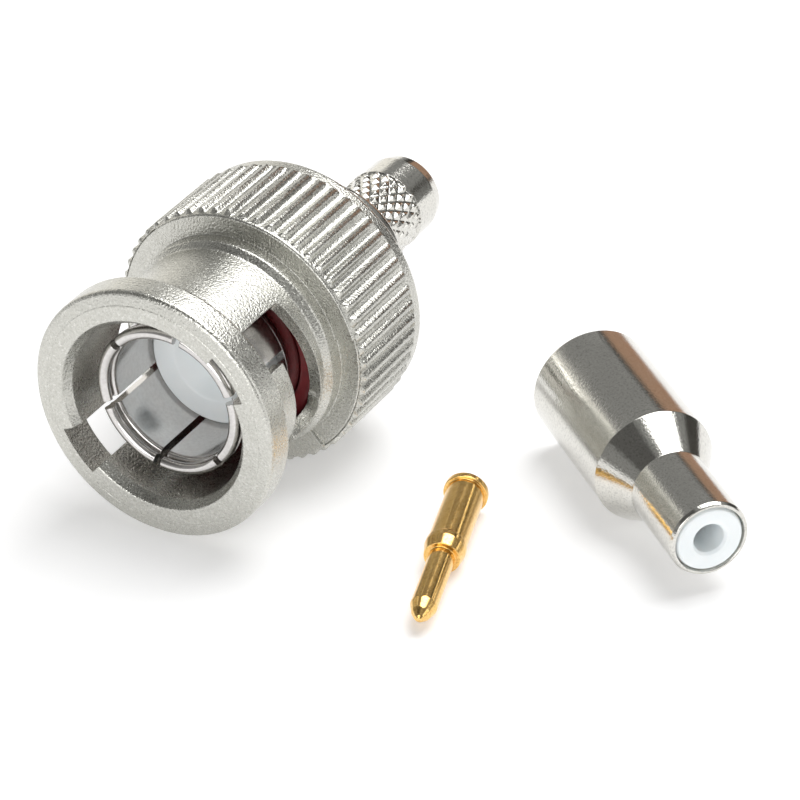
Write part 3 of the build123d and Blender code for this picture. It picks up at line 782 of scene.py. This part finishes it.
def outer_contact():
    """Makes one finger, copies it round, and joins it to the ring behind."""
    gap = GAP_WIDTH / MEAN_RADIUS * 180 / pi
    bead = []
    for angle in range(-90, 91, 15):
        along, out = BEAD_SIZE * cos(radians(angle)), BEAD_SIZE * sin(radians(angle))
        bead.append(Vector((BEAD_DEPTH - along, BEAD_MIDDLE + out)))
    shank = rounded([
        (2.0, 4.15, 0.15), (2.25, 4.02, 0.15), (6.5, 4.02, 0), (6.5, 3.48, 0), (2.0, 3.48, 0.3)], 4)
    finger = turned("spring_fingers", bead + shank, PLUG, 22, start=18 + gap / 2, sweep=60 - gap)
    grow(finger, COPIES_ROUND, PALE, Copies=FINGERS)
    root = turned("sleeve_root", rounded([
        (6.4, 3.48, 0), (6.4, 4.02, 0), (9.7, 4.02, 0), (9.7, 3.48, 0)]), PLUG, 144)
    joined(finger, root)
    dress(finger, PALE, "outer_contact")


outer_contact()

# %% [markdown]
# ## Insulators, gasket and the spring parts
#
# The white front insulator has a flat rim and a dish round the hole for the pin. The red gasket is a
# moulded ring with rounded edges. The spring washers and the split ring can only be seen from behind,
# between the nut and the hub, but they are what the nut's travel comes from, so they are all here.

# %% The small pieces inside
front = turned("dished_insulator", rounded([
    (6.25, 0.72, 0.05), (6.25, 1.15, 0.2), (5.4, 2.1, 0.2), (5.4, 3.3, 0.12), (5.6, 3.47, 0.1),
    (13.0, 3.47, 0), (13.0, 1.08, 0), (8.0, 1.08, 0), (8.0, 0.72, 0)], 4), PLUG)
dress(front, WHITE, "front_insulator")
seal = turned("moulded_gasket", rounded([
    (7.45, 4.03, 0.2), (7.45, 4.865, 0.3), (8.75, 4.865, 0.12), (8.75, 4.03, 0.05)], 5), PLUG)
dress(seal, RED, "gasket")
pusher = turned("flat_washer", rounded([
    (11.17, 4.35, 0.05), (11.17, 5.75, 0.05), (11.77, 5.75, 0.05), (11.77, 4.35, 0.05)]), PLUG)
dress(pusher, STEEL, "thrust_washer", "slider")
split = turned("split_ring", rounded([
    (11.79, 4.95, 0.06), (11.79, 6.29, 0.06), (12.49, 6.29, 0.06), (12.49, 4.95, 0.06)]), PLUG, 120,
    start=104, sweep=332)
dress(split, STEEL, "retaining_ring", "nut")

# %% [markdown]
# The two wave springs start as flat washers, and the tree bends them. The second one is turned by 60
# degrees, half of a wave, so that the high places of one meet the low places of the other.

# %% The wave springs
HALF_STRIP, SHOULDER_Y, HEIGHT_KEPT = 0.11, -0.0024, 0.57

for number, (depth, turn) in enumerate(((10.11, 0), (10.81, 60)), 1):
    near, far = depth - HALF_STRIP, depth + HALF_STRIP
    strip = turned(f"wave_spring_{number}", rounded([
        (near, 4.35, 0.04), (near, 5.75, 0.04), (far, 5.75, 0.04), (far, 4.35, 0.04)]), PLUG, 120)
    grow(strip, WAVES_ROUND, STEEL, Turn=radians(turn))
    dress(strip, STEEL, f"wave_washer_{number}")
    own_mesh(strip)

# %% [markdown]
# The rear insulator is hidden inside the body, and its solid is already a plain bush, so it stays as
# it is and only takes the finish.

# %% Finish of the solid that stays
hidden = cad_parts["rear_insulator"]
hidden.data.materials.clear()
hidden.data.materials.append(WHITE)
print("kept solid:", hidden.name)

# %% [markdown]
# ## The loose contact and the ferrule
#
# The contact is turned from one rod: a thin head, a hollow barrel for the wire, a small collar that
# slopes away at the front, and the pin with its blunt tip.

# %% Centre contact
pin = turned("gold_pin", rounded([
    (3.8, 0, 0), (3.8, 0.55, 0.03), (0, 0.55, 0.05), (0, 1.15, 0.12), (0.4, 1.15, 0.12),
    (0.4, 0.99, 0.04), (4.8, 0.99, 0.03), (4.93, 1.06, 0.05), (5.25, 1.06, 0.12), (5.78, 0.95, 0.06),
    (5.93, 0.92, 0.04), (5.93, 0.674, 0.04), (10.05, 0.674, 0.3), (10.65, 0.47, 0.4), (11.0, 0.24, 0.15),
    (11.1, 0.1, 0.05), (11.1, 0, 0)], 4), CONTACT, 96)
dress(pin, GOLD, "centre_contact")
print("contact lies at", round(min(v.co.z for v in pin.data.vertices) / MM, 4), "mm")

# %% [markdown]
# The ferrule is drawn from tube: a wide barrel, a cone and a narrow end, whose thin rounded lip
# stands round a white bush.

# %% Ferrule and its insert
tube = turned("stepped_ferrule", rounded([
    (0, 2.9, 0.06), (0, 3.1, 0.07), (0.1, 3.18, 0.06), (8.35, 3.18, 0.12), (10.4, 2.06, 0.12),
    (15.12, 2.06, 0.16), (15.33, 1.97, 0.1), (15.33, 1.82, 0.06), (15.1, 1.78, 0.04), (10.4, 1.78, 0.1),
    (8.35, 2.8, 0.1), (0.12, 2.8, 0.06)], 4), FERRULE, 144)
dress(tube, BRIGHT, "ferrule")
bush = turned("ferrule_bush", rounded([
    (10.6, 0.8, 0), (10.6, 1.77, 0), (15.1, 1.77, 0.05), (15.34, 1.66, 0.14), (15.34, 1.1, 0.2),
    (15.3, 0.92, 0.06), (15.16, 0.8, 0.06)], 4), FERRULE, 96)
dress(bush, WHITE, "ferrule_insert")

# %% [markdown]
# ## Floor, light and camera
#
# The pieces lie on a bright white table. Bright metal needs something to reflect, so there are a dark
# card and a brown card behind the pieces, and a grey one high in front. Their bands run down the
# ferrule and its cone, as in the photograph.

# %% Floor and cards
def panel(name, corners, low, high, glow=0.0):
    """A flat thing on the stage: four corners in metres, two shades to drift between, and a glow."""
    material, nodes, link, shader, place = new_finish(name)
    colour = ramp(nodes, link, grain(nodes, link, place, 0.01, 2), [(0.3, low), (0.7, high)])
    link(colour, shader.inputs["Base Color"])
    link(colour, shader.inputs["Emission Color"])
    shader.inputs["Emission Strength"].default_value = glow
    shader.inputs["Roughness"].default_value = 0.9
    shader.inputs["Specular IOR Level"].default_value = 0.1
    sheet = piece_from(name, corners, [[0, 1, 2, 3]])
    sheet.data.materials.append(material)
    return sheet


def standing(name, left, right, back, low, high, dark, light):
    """A card that stands upright behind the pieces."""
    corners = [(left, back, low), (right, back, low), (right, back, high), (left, back, high)]
    panel(name, corners, dark, light)


table = panel("white_table", [(-3, -3, 0), (3, -3, 0), (3, 3, 0), (-3, 3, 0)],
              (0.86, 0.86, 0.865), (0.88, 0.88, 0.885), 0.34)
if table.data.polygons[0].normal.z < 0:
    table.data.flip_normals()
standing("dark_card", -0.12, 0.22, 0.30, 0.0, 0.17, (0.05, 0.048, 0.045), (0.07, 0.066, 0.06))
standing("brown_card", -0.035, 0.014, 0.12, 0.0, 0.058, (0.44, 0.27, 0.18), (0.50, 0.32, 0.22))
high_corners = [(-0.77, -0.60, 0.48), (-0.20, -0.96, 0.48), (0.15, -0.40, 0.97), (-0.43, -0.04, 0.97)]
panel("front_card", high_corners, (0.17, 0.168, 0.164), (0.21, 0.207, 0.20))
print("table and cards ready")

# %% [markdown]
# One large lamp above gives the white stripe on the neck and on the cone. A smaller one in front and
# two weak ones at the sides light the faces that it misses. The background is an even grey, which the
# metal mirrors between the lamps.

# %% Lights
def soft_light(name, place, size, power, colour=(1, 1, 1)):
    """A rectangular lamp at `place` that shines at the middle of the set, sizes in metres."""
    lamp = bpy.data.lights.new(name, "AREA")
    lamp.shape, lamp.size, lamp.size_y = "RECTANGLE", size[0], size[1]
    lamp.energy, lamp.color = power, colour
    piece = bpy.data.objects.new(name, lamp)
    piece.location = place
    piece.rotation_euler = (-Vector(place)).to_track_quat("-Z", "Y").to_euler()
    bpy.context.scene.collection.objects.link(piece)


world = bpy.data.worlds.new("studio")
world.use_nodes = True
world.node_tree.nodes["Background"].inputs["Color"].default_value = (0.80, 0.80, 0.78, 1)
world.node_tree.nodes["Background"].inputs["Strength"].default_value = 0.36
bpy.context.scene.world = world
soft_light("overhead", (0.04, 0.14, 0.37), (0.32, 0.32), 1.35)
soft_light("front", (0.05, -0.36, 0.12), (0.28, 0.18), 0.5)
soft_light("left_side", (-0.33, 0.22, 0.1), (0.46, 0.2), 0.26, (1, 0.97, 0.9))
soft_light("right_side", (0.34, 0.06, 0.12), (0.26, 0.18), 0.2)
bpy.context.scene.view_settings.view_transform = "Standard"

# %% [markdown]
# The camera looks down from the mating side through a long lens, so that the pieces keep nearly the
# same scale from front to back.

# %% Camera
def camera():
    """A long lens looking down at the pieces from the mating side, rolled a little."""
    eye, aim, roll = Vector((84.81, -148.57, 113.4)) * MM, Vector((-5.92, 4.61, 0)) * MM, -0.03
    look = (aim - eye).normalized()
    side = look.cross(Vector((0, 0, 1))).normalized()
    up = side.cross(look)
    right, top = side * cos(roll) + up * sin(roll), up * cos(roll) - side * sin(roll)
    data = bpy.data.cameras.new("camera")
    data.sensor_width, data.lens = 36, 180
    data.clip_start, data.clip_end = 0.01, 10
    piece = bpy.data.objects.new("camera", data)
    piece.matrix_world = Matrix.Translation(eye) @ Matrix((right, top, -look)).transposed().to_4x4()
    bpy.context.scene.collection.objects.link(piece)
    bpy.context.scene.camera = piece


camera()
